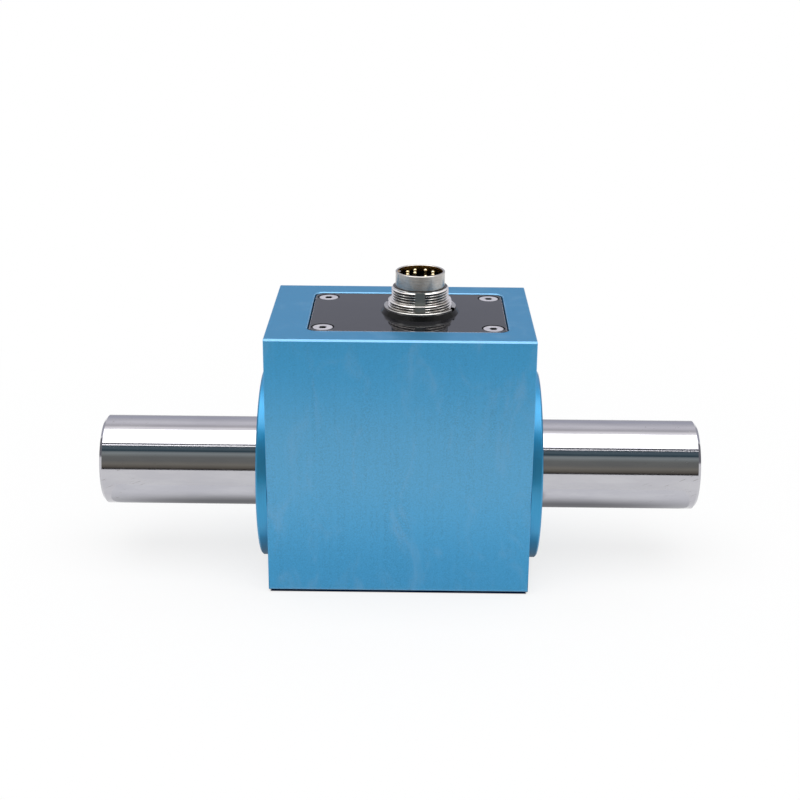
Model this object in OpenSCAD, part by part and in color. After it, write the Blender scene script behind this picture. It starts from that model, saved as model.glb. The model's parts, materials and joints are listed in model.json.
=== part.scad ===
// Rotary torque sensor: a shaft on two ball bearings in a block housing, measured by strain gauges,
// fed and read through two rotary transformers, with the electronics under a cover plate on top.
// X runs along the shaft, +Z is up, and the origin is the centre of the block's base.

/* [Housing] */
// Width of the block along the shaft
housing_w = 72; // [68:1:90]
// Depth of the block, front to back
housing_d = 54; // [54:1:70]
// Height of the block
housing_h = 73; // [70:1:90]
// Height of the shaft's axis above the base
axis_h = 28; // [28:0.5:30]
// Bevel along the block's long top and base edges
edge_break = 0.5; // [0.2:0.1:1.2]
// Bevel along the block's other edges
side_break = 0.2; // [0.1:0.1:1]
// Wall between the main bore and the electronics pocket
pocket_floor = 2.5; // [1.5:0.1:4]
// Spacing of the tapped base holes along the shaft
base_hole_x = 48; // [40:1:52]
// Spacing of the tapped base holes across the shaft
base_hole_y = 40; // [36:1:44]
// Tapping diameter of the base holes
base_hole_d = 4.2; // [3.3:0.1:5]
// Depth of the base holes
base_hole_depth = 9; // [6:0.5:10]

/* [Shaft] */
// Diameter of the two shaft ends
shaft_d = 25.4; // [20:0.1:27]
// Overall length of the shaft
shaft_l = 169; // [140:1:220]
// Bevel on the shaft ends
shaft_chamfer = 0.8; // [0.3:0.1:1.5]
// Height of the seal land above the shaft end
seal_step = 0.2; // [0.1:0.05:0.4]
// Length of the seal land that shows outside the cap
seal_show = 0.6; // [0.3:0.1:1.5]
// Diameter of the reduced measuring section
gauge_d = 20; // [14:0.5:24]
// Length of the reduced measuring section
gauge_l = 14; // [10:1:16]
// Fillet at each end of the measuring section
gauge_fillet = 3; // [1:0.5:3.5]
// Height of the hubs above the bearing seats
shoulder = 1; // [0.6:0.1:1.4]

/* [Bearings] */
// Bore of the ball bearings
bearing_id = 30; // [29:0.5:31]
// Outside diameter of the ball bearings
bearing_od = 42; // [41:0.5:43]
// Width of the ball bearings
bearing_b = 7; // [6:0.5:8]
// Diameter of the balls
ball_d = 3.5; // [3:0.1:4]
// Number of balls in each bearing
ball_count = 16; // [10:1:20]
// Thickness of the retaining rings
snap_t = 1.5; // [1:0.1:1.8]
// Depth of the retaining ring grooves
snap_groove = 0.7; // [0.4:0.1:1]

/* [Measuring parts] */
// Thickness of the strain gauge foils
foil_t = 0.2; // [0.1:0.05:0.4]
// Width of the strain gauge foils round the shaft
foil_w = 8; // [5:0.5:10]
// Length of each transformer core along the shaft
core_l = 9; // [7:0.5:10]
// Thickness of the side walls of the cores
core_wall = 2; // [1.2:0.1:2.4]
// Radial thickness of the rotor cores
rotor_core_t = 2.2; // [1.6:0.1:2.8]
// Gap between the rotor and stator cores
air_gap = 0.3; // [0.25:0.05:0.6]
// Thickness of the spacer tube between the stator cores
spacer_t = 1.4; // [0.8:0.1:1.4]
// Diameter of the wires
wire_d = 0.8; // [0.5:0.1:0.8]

/* [End caps] */
// Distance of the caps' rims inside the block's front and back faces
cap_inset = 0; // [0:0.1:2]
// Length of the caps outside the block
cap_t = 3; // [2.5:0.5:6]
// Bevel on the rim of the caps
cap_break = 0.4; // [0.2:0.1:1]
// Length of the cap spigots inside the bore
spigot_l = 5; // [5:0.5:7]
// Wall of the cap spigots
spigot_t = 2; // [1.5:0.1:2]
// Width of the shaft seals
seal_b = 2; // [1.5:0.1:2.5]
// Radial height of the shaft seals
seal_h = 2; // [1.5:0.1:3]
// Thread diameter of the cap screws
cap_screw_d = 2.5; // [2:0.5:3]
// Length of the cap screws
cap_screw_l = 8; // [6:0.5:10]

/* [Cover] */
// Length of the cover plate along the shaft
cover_w = 53.4; // [50:0.2:58]
// Depth of the cover plate
cover_d = 37.4; // [36:0.2:42]
// Offset of the cover plate along the shaft
cover_x = 2; // [0:0.1:4]
// Offset of the cover plate across the shaft
cover_y = 0.3; // [0:0.1:1]
// Thickness of the cover plate
cover_t = 2; // [1.5:0.1:3]
// Depth of the plate below the block's top face
cover_drop = 0.2; // [0:0.1:0.8]
// Corner radius of the cover plate
cover_r = 2.4; // [1:0.1:4]
// Bevel on the top edge of the cover plate
cover_break = 0.2; // [0.1:0.05:0.4]
// Bevel on the edge of the plate's recess
recess_break = 0.25; // [0.1:0.05:0.4]
// Thickness of the gasket under the plate
gasket_t = 0.5; // [0.3:0.1:1]
// Inset of the cover screws from the plate's short edges
cover_screw_inset_x = 3.7; // [3.6:0.1:5]
// Inset of the cover screws from the plate's long edges
cover_screw_inset_y = 3.95; // [3.6:0.05:6]
// Thread diameter of the cover screws
cover_screw_d = 3; // [2.5:0.5:3]
// Length of the cover screws
cover_screw_l = 8; // [6:0.5:12]
// Depth of the cover screws' heads below the plate's top face
cover_screw_sink = 0.1; // [0:0.05:0.4]

/* [Electronics] */
// Thickness of the circuit boards
board_t = 1.6; // [1:0.1:2]
// Height of the bosses under the main board
boss_h = 4; // [3:0.5:5]
// Diameter of the bosses under the main board
boss_d = 5; // [4.5:0.1:6]
// Thread diameter of the board screws
board_screw_d = 2.5; // [2:0.5:2.5]
// Length of the board screws below their heads
board_screw_l = 5; // [4:0.5:5]

/* [Connector] */
// Place of the connector along the shaft
connector_x = 5.2; // [1:0.1:8]
// Place of the connector across the shaft
connector_y = 1.8; // [-3:0.1:3.5]
// Diameter of the plain nose
nose_d = 13.7; // [13:0.1:14.5]
// Length of the plain nose
nose_l = 4.3; // [3:0.05:6]
// Diameter of the coupling thread
coupling_d = 15.9; // [15:0.1:17]
// Length of the coupling thread
coupling_l = 3.7; // [3:0.1:6]
// Diameter of the panel thread
panel_d = 17.7; // [17:0.1:18.5]
// Height of the panel thread above the plate
panel_l = 3.6; // [3:0.05:5]
// Wall of the nose
shell_wall = 0.6; // [0.4:0.1:0.8]
// Depth of the socket below its mouth
socket_depth = 9; // [7:0.5:11]
// Diameter of the slotted ring nut
nut_d = 20; // [19.5:0.1:21]
// Height of the ring nut
nut_h = 1.35; // [1:0.05:2]
// Thickness of the sealing washer under the nut
washer_t = 0.5; // [0.3:0.1:1]
// Diameter of the contact pins
pin_d = 1; // [0.8:0.1:1.2]
// Radius of the ring of contact pins
pin_ring_r = 3.8; // [3.4:0.1:4.2]
// Depth of the pin tips below the mouth
pin_recess = 0.4; // [0.3:0.1:2]

/* [Clearances] */
// Clearance of pieces that are fitted together and stay put
fit_gap = 0.02; // [0.01:0.01:0.05]
// Clearance between the shaft and the caps
run_gap = 0.3; // [0.2:0.05:0.5]
// Clearance between the seals and the shaft
seal_gap = 0.06; // [0.02:0.01:0.1]
// Clearance between the balls and their races
race_gap = 0.05; // [0.02:0.01:0.08]
// Clearance of the bearing cages
cage_gap = 0.2; // [0.1:0.05:0.3]
// Gap between the cover plate and its recess
cover_gap = 0.4; // [0.1:0.05:0.6]
// Clearance of screws in their through holes
screw_gap = 0.2; // [0.1:0.05:0.4]

/* [Hidden] */

$fn = 64;
// Overshoot of cutting shapes past the face that they cut
cut = 0.5;

// Colours
blue = [0.27, 0.56, 0.72];
steel = [0.75, 0.75, 0.77];
bearing_steel = [0.66, 0.67, 0.70];
black = [0.06, 0.06, 0.07];
nickel = [0.70, 0.70, 0.69];
gold = [0.83, 0.64, 0.26];
rubber = [0.10, 0.10, 0.11];
ferrite = [0.22, 0.22, 0.24];
copper = [0.72, 0.40, 0.20];
board_green = [0.07, 0.30, 0.16];
chip_black = [0.12, 0.12, 0.13];
foil_amber = [0.80, 0.52, 0.16];
wire_red = [0.65, 0.12, 0.10];
cage_brass = [0.72, 0.58, 0.30];

// Places along the shaft, measured from the middle of the block
face_x = housing_w / 2;
cap_face_x = face_x + cap_t;
bearing_out_x = face_x - spigot_l;
bearing_in_x = bearing_out_x - bearing_b;
bearing_mid_x = (bearing_out_x + bearing_in_x) / 2;
snap_play = 0.1;
snap_land = 1.2;
snap_end_x = bearing_out_x + snap_t + snap_play;
seat_end_x = snap_end_x + snap_land;
web_gap = 0.5;
web_x = seat_end_x + web_gap;
seal_x = (web_x + cap_face_x - seal_b) / 2;
core_in_x = bearing_in_x - core_l;
core_inset = 0.5;
coil_in_x = core_in_x + core_wall;
coil_l = core_l - 2 * core_wall;
hub_in_x = gauge_l / 2 + gauge_fillet;

// Radii about the shaft's axis
bore_r = bearing_od / 2 + fit_gap;
stator_r = bore_r - fit_gap;
seat_r = bearing_id / 2 - fit_gap;
hub_r = bearing_id / 2 + shoulder;
shaft_r = shaft_d / 2;
land_r = shaft_r + seal_step;
gauge_r = gauge_d / 2;
snap_r = seat_r - snap_groove;
snap_lift = 1.6;
snap_out_r = bearing_id / 2 + snap_lift;
pitch_r = (bearing_id + bearing_od) / 4;
race_r = ball_d / 2 + race_gap;
// Half of the gap between the two rings of a bearing, where the cage runs
ring_share = 0.26;
ring_gap = ring_share * ball_d;
// The caps' rims line up with the block's front and back faces
cap_d = housing_d - 2 * cap_inset;
cap_bore_r = land_r + run_gap;
// The cap screws stand at this share of the width between the bore and the rim
cap_screw_share = 0.46;
cap_screw_r = bore_r + cap_screw_share * (cap_d / 2 - bore_r);
rotor_in_r = hub_r + fit_gap;
rotor_out_r = rotor_in_r + rotor_core_t;
rotor_coil_in_r = rotor_out_r - rotor_core_t / 2;
stator_in_r = rotor_out_r + air_gap;
stator_coil_out_r = (stator_in_r + stator_r) / 2;
// Coils lie this far below the faces that turn past each other
coil_sink = 0.1;
rotor_board_gap = 0.2;
rotor_board_rim = 1.5;
rotor_board_in_r = gauge_r + gauge_fillet + rotor_board_gap;
rotor_board_out_r = hub_r + rotor_board_rim;
rotor_board_split = 0.5;

// Cover, pocket and main board
plate_top_z = housing_h - cover_drop;
plate_z = plate_top_z - cover_t;
recess_z = plate_z - gasket_t;
recess_w = cover_w + 2 * cover_gap;
recess_d = cover_d + 2 * cover_gap;
recess_r = cover_r + cover_gap;
cover_screw_x = cover_w / 2 - cover_screw_inset_x;
cover_screw_y = cover_d / 2 - cover_screw_inset_y;
ledge_x = 3.5;
ledge_y = 3.3;
pocket_w = 2 * (cover_screw_x - ledge_x);
pocket_d = cover_d - 2 * ledge_y;
pocket_r = 3;
pocket_z = axis_h + bore_r + pocket_floor;
board_z = pocket_z + boss_h;
board_top_z = board_z + board_t;
board_gap = 0.75;
board_w = pocket_w - 2 * board_gap;
board_d = pocket_d - 2 * board_gap;
board_hole_inset = 3;
board_hole_x = board_w / 2 - board_hole_inset;
board_hole_y = board_d / 2 - board_hole_inset;
lead_pitch = 2;
lead_hole_d = 4;
// Wall left between a lead hole and the end of the spacer tube
lead_hole_edge = 1;
lead_r = (stator_in_r + stator_coil_out_r) / 2;
lead_x = min(core_in_x - lead_hole_edge - lead_hole_d / 2, pocket_w / 2 - cover_x - lead_hole_d);
gasket_inset = 0.3;

// Connector, heights above the plate's top face
nose_r = nose_d / 2;
socket_r = nose_r - shell_wall;
coupling_r = coupling_d / 2;
panel_r = panel_d / 2;
nut_r = nut_d / 2;
coupling_top = panel_l + coupling_l;
mouth_top = coupling_top + nose_l;
socket_floor = mouth_top - socket_depth;
pin_top = mouth_top - pin_recess;
flange_t = 2;
flange_w = 2.2;
flange_r = panel_r + flange_w;
barrel_l = 3;
barrel_step = 0.9;
barrel_r = panel_r - barrel_step;
shell_bottom = -cover_t - flange_t - barrel_l;
tail_l = 1.5;
seal_ring_d = 1;
seal_ring_r = panel_r + flange_w / 2;
seal_ring_gap = 0.1;
nut_slot_w = 2;
nut_slot_depth = 1;
nut_slot_turn = -22.5;
thread_slot_w = 2.6;
thread_slot_depth = 0.5;
key_w = 1.2;
key_depth = 0.8;
pin_count = 8;
// The ring of pins has one place left free, and the last pin stands near the middle
free_place = 5;
pin_step = 360 / pin_count;
inner_pin = [-1.5, 0.4];
pin_places = concat(
    [
        for (i = [0:pin_count - 1])
            if (i != free_place)
                pin_ring_r * [cos((i + 0.5) * pin_step), sin((i + 0.5) * pin_step)]
    ],
    [inner_pin]
);

// Countersunk socket screws: sizes that follow the thread diameter
function head_d(d) = 1.9 * d;
function hex_d(d) = 0.68 * d;
function hex_depth(d) = 0.5 * d;
head_rim = 0.15;

// Shared shapes

// Stands children on the shaft's axis, with their Z along +X
module on_axis(x = 0) {
    translate([x, 0, axis_h])
        rotate([0, 90, 0])
            children();
}

// Turns a profile, drawn as radius and place along the shaft, about the shaft's axis
module turned() {
    on_axis()
        rotate_extrude()
            children();
}

// Profile of a plain ring about the shaft's axis
module ring_profile(r_in, r_out, x, length) {
    translate([r_in, x])
        square([r_out - r_in, length]);
}

module left_side() {
    mirror([1, 0, 0])
        children();
}

// Puts children at the four corners of a rectangle
module corners(half_x, half_y) {
    for (sx = [-1, 1], sy = [-1, 1])
        translate([sx * half_x, sy * half_y])
            children();
}

module bevelled_outline(w, d, c) {
    x = w / 2;
    y = d / 2;
    polygon([
        [-x + c, -y], [x - c, -y], [x, -y + c], [x, y - c],
        [x - c, y], [-x + c, y], [-x, y - c], [-x, -y + c],
    ]);
}

// Block standing on the base, its edges along X bevelled by one size and the others by another
module bevelled_block(w, d, h, long_c, side_c) {
    intersection() {
        linear_extrude(h)
            bevelled_outline(w, d, side_c);
        translate([-w / 2, 0, h / 2])
            rotate([90, 0, 90])
                linear_extrude(w)
                    bevelled_outline(d, h, long_c);
        translate([0, d / 2, h / 2])
            rotate([90, 0, 0])
                linear_extrude(d)
                    bevelled_outline(w, h, side_c);
    }
}

module rounded_outline(w, d, r) {
    union() {
        square([w - 2 * r, d], center = true);
        square([w, d - 2 * r], center = true);
        corners(w / 2 - r, d / 2 - r)
            circle(r);
    }
}

module rounded_plate(w, d, h, r) {
    linear_extrude(h)
        rounded_outline(w, d, r);
}

// Rounded plate whose sides slope outwards by the flare over its height, or inwards if that is negative
module flared_plate(w, d, h, r, flare) {
    flared_bar(w, d - 2 * r, h, flare);
    rotate([0, 0, 90])
        flared_bar(d, w - 2 * r, h, flare);
    corners(w / 2 - r, d / 2 - r)
        cylinder(r1 = r, r2 = r + flare, h = h);
}

// Bar along Y with a section that widens by the flare on both sides
module flared_bar(w, length, h, flare) {
    translate([0, length / 2, 0])
        rotate([90, 0, 0])
            linear_extrude(length)
                polygon([[-w / 2, 0], [w / 2, 0], [w / 2 + flare, h], [-w / 2 - flare, h]]);
}

// Countersunk hex-socket screw, its head's top at Z = 0 and its tip down
module flat_screw(d, length) {
    cone_h = (head_d(d) - d) / 2;
    difference() {
        union() {
            translate([0, 0, -head_rim])
                cylinder(d = head_d(d), h = head_rim);
            translate([0, 0, -head_rim - cone_h])
                cylinder(d1 = d, d2 = head_d(d), h = cone_h);
            translate([0, 0, -length])
                cylinder(d = d, h = length - head_rim);
        }
        translate([0, 0, -hex_depth(d)])
            cylinder(d = hex_d(d) / cos(30), h = hex_depth(d) + cut, $fn = 6);
    }
}

// Hole for a countersunk screw through a plate whose top is at Z = 0
module flat_screw_hole(d, thickness, sink) {
    wide = head_d(d) + 2 * screw_gap;
    narrow = d + 2 * screw_gap;
    cone_h = (wide - narrow) / 2;
    translate([0, 0, -thickness - cut])
        cylinder(d = narrow, h = thickness + 2 * cut);
    translate([0, 0, -sink - head_rim])
        cylinder(d = wide, h = sink + head_rim + cut);
    translate([0, 0, -sink - head_rim - cone_h])
        cylinder(d1 = narrow, d2 = wide, h = cone_h);
}

// Puts children at the cap screws of the right-hand cap, on its outer face, with Z pointing out
module at_cap_screws() {
    for (a = [45:90:315])
        on_axis(cap_face_x)
            rotate([0, 0, a])
                translate([cap_screw_r, 0, 0])
                    children();
}

module at_cover(z) {
    translate([cover_x, cover_y, z])
        children();
}

module at_connector(z = 0) {
    translate([connector_x, connector_y, plate_top_z + z])
        children();
}

// Stationary pieces

module housing() {
    color(blue) {
        difference() {
            bevelled_block(housing_w, housing_d, housing_h, edge_break, side_break);
            turned()
                ring_profile(0, bore_r, -face_x - cut, housing_w + 2 * cut);
            cap_screw_threads();
            left_side()
                cap_screw_threads();
            corners(base_hole_x / 2, base_hole_y / 2)
                translate([0, 0, -cut])
                    cylinder(d = base_hole_d, h = base_hole_depth + cut);
            at_cover(recess_z)
                rounded_plate(recess_w, recess_d, housing_h, recess_r);
            at_cover(housing_h - recess_break)
                flared_plate(recess_w, recess_d, 2 * recess_break, recess_r, 2 * recess_break);
            at_cover(pocket_z)
                rounded_plate(pocket_w, pocket_d, housing_h, pocket_r);
            at_cover(plate_top_z - cover_screw_l - 2 * cut)
                corners(cover_screw_x, cover_screw_y)
                    cylinder(d = cover_screw_d + 2 * fit_gap, h = cover_screw_l);
            lead_holes();
        }
        board_bosses();
    }
}

module cap_screw_threads() {
    at_cap_screws()
        translate([0, 0, -cap_screw_l - cut])
            cylinder(d = cap_screw_d + 2 * fit_gap, h = cap_screw_l);
}

// Passages for the coil leads, from the bore up into the pocket
module lead_holes() {
    for (s = [-1, 1])
        translate([s * lead_x, 0, axis_h])
            cylinder(d = lead_hole_d, h = pocket_z - axis_h + cut);
}

module board_bosses() {
    at_cover(pocket_z)
        corners(board_hole_x, board_hole_y)
            difference() {
                translate([0, 0, -cut])
                    cylinder(d = boss_d, h = boss_h + cut);
                cylinder(d = board_screw_d + 2 * fit_gap, h = boss_h + cut);
            }
}

module end_cap() {
    color(blue)
        difference() {
            turned()
                difference() {
                    polygon([
                        [cap_bore_r, web_x],
                        [stator_r - spigot_t, web_x],
                        [stator_r - spigot_t, bearing_out_x],
                        [stator_r, bearing_out_x],
                        [stator_r, face_x],
                        [cap_d / 2, face_x],
                        [cap_d / 2, cap_face_x - cap_break],
                        [cap_d / 2 - cap_break, cap_face_x],
                        [cap_bore_r, cap_face_x],
                    ]);
                    ring_profile(cap_bore_r - cut, cap_bore_r + seal_h, seal_x, seal_b);
                }
            at_cap_screws()
                flat_screw_hole(cap_screw_d, cap_t, 0);
            below_base();
        }
}

// Space under the block, which caps too wide for the axis height are cut flat to
module below_base() {
    translate([0, -cap_d, -cap_d])
        cube([cap_face_x + cut, 2 * cap_d, cap_d]);
}

module end_cap_left() {
    left_side()
        end_cap();
}

module end_cap_right() {
    end_cap();
}

module cap_screws_right() {
    color(steel)
        at_cap_screws()
            flat_screw(cap_screw_d, cap_screw_l);
}

module cap_screws_left() {
    left_side()
        cap_screws_right();
}

module shaft_seal_right() {
    color(rubber)
        turned()
            ring_profile(
                land_r + seal_gap, cap_bore_r + seal_h - fit_gap, seal_x + fit_gap, seal_b - 2 * fit_gap
            );
}

module shaft_seal_left() {
    left_side()
        shaft_seal_right();
}

// Ball groove of the right-hand bearing, as a profile to cut from its rings
module race_profile() {
    translate([pitch_r, bearing_mid_x])
        circle(race_r);
}

module bearing_outer_right() {
    color(bearing_steel)
        turned()
            difference() {
                ring_profile(pitch_r + ring_gap, bearing_od / 2, bearing_in_x, bearing_b);
                race_profile();
            }
}

module bearing_outer_left() {
    left_side()
        bearing_outer_right();
}

// Stator core of the right-hand transformer, with the winding groove open towards the shaft
module stator_core() {
    color(ferrite)
        difference() {
            turned()
                difference() {
                    ring_profile(stator_in_r, stator_r, core_in_x, core_l);
                    ring_profile(stator_in_r - cut, stator_coil_out_r, coil_in_x, coil_l);
                }
            lead_notch();
        }
}

// Notch in the core's inner side wall, where the winding's leads come out
module lead_notch() {
    notch_w = lead_pitch + 2 * wire_d;
    translate([core_in_x - cut, -notch_w / 2, axis_h])
        cube([core_wall + 2 * cut, notch_w, stator_coil_out_r]);
}

module stator_coil() {
    color(copper)
        turned()
            ring_profile(
                stator_in_r + coil_sink, stator_coil_out_r - fit_gap,
                coil_in_x + fit_gap, coil_l - 2 * fit_gap
            );
}

module power_stator_core() {
    stator_core();
}

module power_stator_coil() {
    stator_coil();
}

module signal_stator_core() {
    left_side()
        stator_core();
}

module signal_stator_coil() {
    left_side()
        stator_coil();
}

module stator_spacer() {
    color(steel)
        difference() {
            turned()
                ring_profile(stator_r - spacer_t, stator_r, -core_in_x, 2 * core_in_x);
            lead_holes();
        }
}

// One wire from a winding, along the shaft and then up to the underside of the main board
module coil_lead() {
    start_z = axis_h + lead_r;
    end_x = coil_in_x + fit_gap;
    translate([lead_x, 0, start_z]) {
        sphere(d = wire_d);
        rotate([0, 90, 0])
            cylinder(d = wire_d, h = end_x - lead_x);
        cylinder(d = wire_d, h = board_z - start_z);
    }
}

module coil_leads() {
    color(wire_red)
        for (side = [0, 1], sy = [-1, 1])
            mirror([side, 0, 0])
                translate([0, sy * lead_pitch / 2, 0])
                    coil_lead();
}

module main_board() {
    color(board_green)
        at_cover(board_z)
            difference() {
                rounded_plate(board_w, board_d, board_t, pocket_r - board_gap);
                translate([0, 0, -cut])
                    corners(board_hole_x, board_hole_y)
                        cylinder(d = board_screw_d + 2 * screw_gap, h = board_t + 2 * cut);
            }
}

// Packages on the main board: a processor, a row of small amplifiers and two round capacitors
module board_chips() {
    processor = [8, 8, 1.4];
    amplifier = [4, 5, 1.5];
    amplifier_gap = 2;
    capacitor_d = 5;
    capacitor_h = 5;
    capacitor_gap = 1;
    // The packages stand left of the board's middle, clear of the wires, and off its edges
    chip_shift = 4;
    chip_edge = 2;
    capacitor_edge = 9;
    color(chip_black)
        at_cover(board_top_z) {
            translate([-processor[0] - chip_shift, -processor[1] / 2, 0])
                cube(processor);
            for (i = [-1:1])
                translate([i * (amplifier[0] + amplifier_gap) - chip_shift, chip_edge - board_d / 2, 0])
                    cube(amplifier);
            for (i = [0, 1])
                translate([
                    capacitor_edge - board_w / 2 + i * (capacitor_d + capacitor_gap),
                    board_d / 2 - capacitor_d,
                    0,
                ])
                    cylinder(d = capacitor_d, h = capacitor_h);
        }
}

module board_screws() {
    head_h = 1.5;
    color(steel)
        at_cover(board_top_z)
            corners(board_hole_x, board_hole_y) {
                cylinder(d = head_d(board_screw_d), h = head_h);
                translate([0, 0, -board_screw_l])
                    cylinder(d = board_screw_d, h = board_screw_l + cut);
            }
}

module cover_gasket() {
    color(rubber)
        at_cover(recess_z)
            difference() {
                rounded_plate(cover_w - 2 * gasket_inset, cover_d - 2 * gasket_inset, gasket_t, cover_r);
                translate([0, 0, -cut]) {
                    rounded_plate(pocket_w, pocket_d, gasket_t + 2 * cut, pocket_r);
                    corners(cover_screw_x, cover_screw_y)
                        cylinder(d = cover_screw_d + 2 * screw_gap, h = gasket_t + 2 * cut);
                }
            }
}

module cover_plate() {
    color(black)
        difference() {
            at_cover(plate_z) {
                rounded_plate(cover_w, cover_d, cover_t - cover_break, cover_r);
                translate([0, 0, cover_t - cover_break])
                    flared_plate(cover_w, cover_d, cover_break, cover_r, -cover_break);
            }
            at_cover(plate_top_z)
                corners(cover_screw_x, cover_screw_y)
                    flat_screw_hole(cover_screw_d, cover_t, cover_screw_sink);
            at_connector(-cover_t - cut)
                cylinder(r = panel_r + fit_gap, h = cover_t + 2 * cut);
        }
}

module cover_screws() {
    color(steel)
        at_cover(plate_top_z - cover_screw_sink)
            corners(cover_screw_x, cover_screw_y)
                flat_screw(cover_screw_d, cover_screw_l);
}

// Connector

module connector_shell() {
    color(nickel)
        at_connector()
            union() {
                difference() {
                    rotate_extrude()
                        shell_profile();
                    thread_slot(panel_r, -cover_t, panel_l);
                    thread_slot(coupling_r, panel_l, coupling_top);
                }
                socket_key();
            }
}

// Half section of the shell, from the rear barrel up to the mouth
module shell_profile() {
    seal_groove = seal_ring_d + 2 * seal_ring_gap;
    difference() {
        union() {
            translate([0, shell_bottom])
                square([barrel_r, barrel_l]);
            translate([0, -cover_t - flange_t])
                square([flange_r, flange_t]);
            translate([0, -cover_t])
                square([panel_r, cover_t + panel_l]);
            square([coupling_r, coupling_top]);
            square([nose_r, mouth_top]);
        }
        translate([0, shell_bottom - cut])
            square([socket_r, mouth_top - shell_bottom + 2 * cut]);
        translate([seal_ring_r - seal_groove / 2, -cover_t - seal_ring_d])
            square([seal_groove, seal_ring_d + cut]);
    }
}

// Milled slot down the front of a threaded stretch
module thread_slot(r, z0, z1) {
    translate([-thread_slot_w / 2, -r - cut, z0])
        cube([thread_slot_w, thread_slot_depth + cut, z1 - z0]);
}

// Polarising key on the left wall of the socket
module socket_key() {
    translate([-socket_r - shell_wall / 2, -key_w / 2, socket_floor])
        cube([shell_wall / 2 + key_depth, key_w, pin_top - socket_floor]);
}

module at_pins() {
    for (place = pin_places)
        translate(place)
            children();
}

module connector_insert() {
    color(chip_black)
        at_connector(shell_bottom)
            difference() {
                cylinder(r = socket_r - fit_gap, h = socket_floor - shell_bottom);
                at_pins()
                    translate([0, 0, -cut])
                        cylinder(d = pin_d + 2 * fit_gap, h = socket_floor - shell_bottom + 2 * cut);
            }
}

module connector_pins() {
    straight_l = pin_top - pin_d / 2 - shell_bottom + tail_l;
    color(gold)
        at_connector(shell_bottom - tail_l)
            at_pins() {
                cylinder(d = pin_d, h = straight_l);
                translate([0, 0, straight_l])
                    sphere(d = pin_d);
            }
}

// Wires from the tails of the contacts down to the main board
module connector_leads() {
    tail_z = plate_top_z + shell_bottom - tail_l;
    color(wire_red)
        at_connector(board_top_z - plate_top_z)
            at_pins()
                cylinder(d = wire_d, h = tail_z - board_top_z);
}

// Sealing ring between the connector's flange and the underside of the plate
module connector_ring() {
    color(rubber)
        at_connector(-cover_t - seal_ring_d / 2)
            rotate_extrude()
                translate([seal_ring_r, 0])
                    circle(d = seal_ring_d - fit_gap);
}

// Sealing washer under the ring nut, with a sloping lip round the nut's foot
module connector_washer() {
    lip_w = 0.9;
    lip_top_w = 0.1;
    lip_h = 0.7;
    color(rubber)
        at_connector()
            rotate_extrude()
                polygon([
                    [panel_r + fit_gap, 0],
                    [nut_r + lip_w, 0],
                    [nut_r + lip_top_w, washer_t + lip_h],
                    [nut_r + fit_gap, washer_t + lip_h],
                    [nut_r + fit_gap, washer_t],
                    [panel_r + fit_gap, washer_t],
                ]);
}

module connector_nut() {
    nut_bevel = 0.15;
    color(nickel)
        at_connector(washer_t)
            difference() {
                rotate_extrude()
                    polygon([
                        [panel_r + fit_gap, 0],
                        [nut_r, 0],
                        [nut_r, nut_h - nut_bevel],
                        [nut_r - nut_bevel, nut_h],
                        [panel_r + fit_gap, nut_h],
                    ]);
                rotate([0, 0, nut_slot_turn])
                    translate([-nut_r - cut, -nut_slot_w / 2, nut_h - nut_slot_depth])
                        cube([2 * nut_r + 2 * cut, nut_slot_w, nut_slot_depth + cut]);
            }
}

// Turning pieces

module torque_shaft() {
    color(steel)
        turned()
            for (side = [0, 1])
                mirror([0, side])
                    half_shaft_profile();
}

// Half of the shaft's section, from the middle out to the right-hand end
module half_shaft_profile() {
    end_x = shaft_l / 2;
    square([gauge_r, hub_in_x]);
    gauge_fillet_profile();
    ring_profile(0, hub_r, hub_in_x, bearing_in_x - hub_in_x);
    difference() {
        ring_profile(0, seat_r, bearing_in_x, seat_end_x - bearing_in_x);
        ring_profile(snap_r, seat_r + cut, bearing_out_x, snap_t + snap_play);
    }
    ring_profile(0, land_r, seat_end_x, cap_face_x + seal_show - seat_end_x);
    polygon([
        [0, seat_end_x],
        [shaft_r, seat_end_x],
        [shaft_r, end_x - shaft_chamfer],
        [shaft_r - shaft_chamfer, end_x],
        [0, end_x],
    ]);
}

module gauge_fillet_profile() {
    difference() {
        translate([gauge_r - cut, gauge_l / 2])
            square([gauge_fillet + cut, gauge_fillet]);
        translate([gauge_r + gauge_fillet, gauge_l / 2])
            circle(gauge_fillet);
    }
}

module strain_gauges() {
    foil_margin = 3;
    foil_turn = foil_w / gauge_r * 180 / PI;
    color(foil_amber)
        on_axis()
            for (a = [0:90:270])
                rotate([0, 0, a - foil_turn / 2])
                    rotate_extrude(angle = foil_turn)
                        ring_profile(
                            gauge_r + fit_gap, gauge_r + fit_gap + foil_t,
                            foil_margin - gauge_l / 2, gauge_l - 2 * foil_margin
                        );
}

// Ring board in two halves, bonded to the inner face of the right-hand hub
module rotor_board() {
    color(board_green)
        difference() {
            turned()
                ring_profile(rotor_board_in_r, rotor_board_out_r, hub_in_x - board_t, board_t);
            translate([hub_in_x - board_t - cut, -rotor_board_split / 2, axis_h - rotor_board_out_r - cut])
                cube([board_t + 2 * cut, rotor_board_split, 2 * (rotor_board_out_r + cut)]);
        }
}

// Rotor core of the right-hand transformer, with the winding groove open outwards
module rotor_core() {
    color(ferrite)
        turned()
            difference() {
                ring_profile(rotor_in_r, rotor_out_r, core_in_x + core_inset, core_l - 2 * core_inset);
                ring_profile(rotor_coil_in_r, rotor_out_r + cut, coil_in_x, coil_l);
            }
}

module rotor_coil() {
    color(copper)
        turned()
            ring_profile(
                rotor_coil_in_r + fit_gap, rotor_out_r - coil_sink,
                coil_in_x + fit_gap, coil_l - 2 * fit_gap
            );
}

module power_rotor_core() {
    rotor_core();
}

module power_rotor_coil() {
    rotor_coil();
}

module signal_rotor_core() {
    left_side()
        rotor_core();
}

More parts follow.
